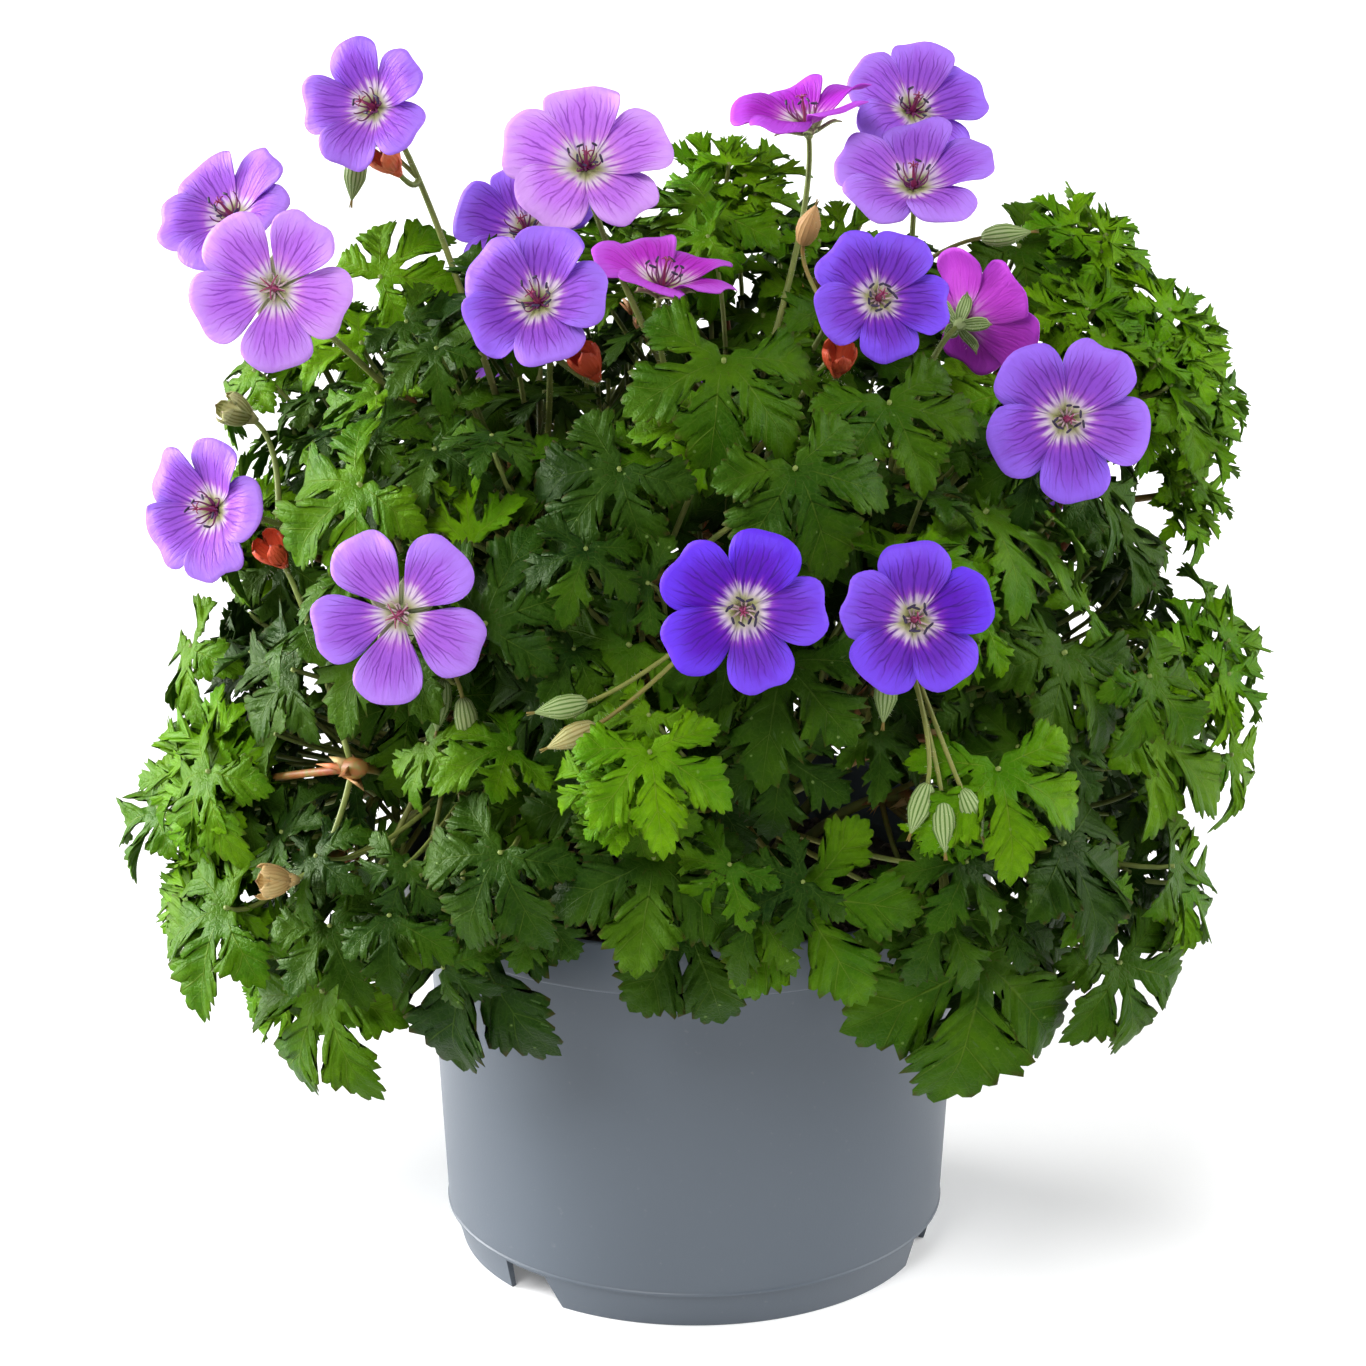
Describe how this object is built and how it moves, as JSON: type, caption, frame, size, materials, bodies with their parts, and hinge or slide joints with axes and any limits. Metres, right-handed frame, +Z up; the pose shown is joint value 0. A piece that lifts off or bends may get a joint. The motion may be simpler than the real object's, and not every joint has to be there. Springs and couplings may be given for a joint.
{
  "type": "hardy geranium in a nursery pot",
  "caption": "Flowering hardy geranium, a dome of lobed leaves and open five-petalled flowers on lax stems, growing in a round plastic nursery pot.",
  "frame": {"origin": "centre of the pot's foot, on the surface that the pot stands on", "axes": "+Z up along the pot's axis; -Y is the front, the side with most flowers; +X is to the right seen from the front"},
  "size_m": [0.3593, 0.3289, 0.392],
  "materials": {
    "pot_plastic": "satin",
    "potting_mix": "matte",
    "green_plant": "matte",
    "violet_petals": "matte",
    "stamens": "matte"
  },
  "bodies": {
    "root": {"pot": "pot_plastic", "potting_mix": "potting_mix", "leafy_stem_01": "green_plant", "leafy_stem_02": "green_plant", "leafy_stem_03": "green_plant", "leafy_stem_04": "green_plant", "leafy_stem_05": "green_plant", "leafy_stem_06": "green_plant", "leafy_stem_07": "green_plant", "leafy_stem_08": "green_plant", "leafy_stem_09": "green_plant", "leafy_stem_10": "green_plant", "leafy_stem_11": "green_plant", "leafy_stem_12": "green_plant", "leafy_stem_13": "green_plant", "leafy_stem_14": "green_plant", "leafy_stem_15": "green_plant", "leafy_stem_16": "green_plant", "leafy_stem_17": "green_plant", "leafy_stem_18": "green_plant", "bloom_01_petals": "violet_petals", "bloom_01_stamens": "stamens", "bloom_02_petals": "violet_petals", "bloom_02_stamens": "stamens", "bloom_03_petals": "violet_petals", "bloom_03_stamens": "stamens", "bloom_04_petals": "violet_petals", "bloom_04_stamens": "stamens", "bloom_05_petals": "violet_petals", "bloom_05_stamens": "stamens", "bloom_06_petals": "violet_petals", "bloom_06_stamens": "stamens", "bloom_07_petals": "violet_petals", "bloom_07_stamens": "stamens", "bloom_08_petals": "violet_petals", "bloom_08_stamens": "stamens", "bloom_09_petals": "violet_petals", "bloom_09_stamens": "stamens", "bloom_10_petals": "violet_petals", "bloom_10_stamens": "stamens", "bloom_11_petals": "violet_petals", "bloom_11_stamens": "stamens", "bloom_12_petals": "violet_petals", "bloom_12_stamens": "stamens", "bloom_13_petals": "violet_petals", "bloom_13_stamens": "stamens", "bloom_14_petals": "violet_petals", "bloom_14_stamens": "stamens", "bloom_15_petals": "violet_petals", "bloom_15_stamens": "stamens", "bloom_16_petals": "violet_petals", "bloom_16_stamens": "stamens", "bloom_17_petals": "violet_petals", "bloom_17_stamens": "stamens", "bloom_18_petals": "violet_petals", "bloom_18_stamens": "stamens", "bloom_19_petals": "violet_petals", "bloom_19_stamens": "stamens", "bloom_20_petals": "violet_petals", "bloom_20_stamens": "stamens"}
  },
  "joints": []
}
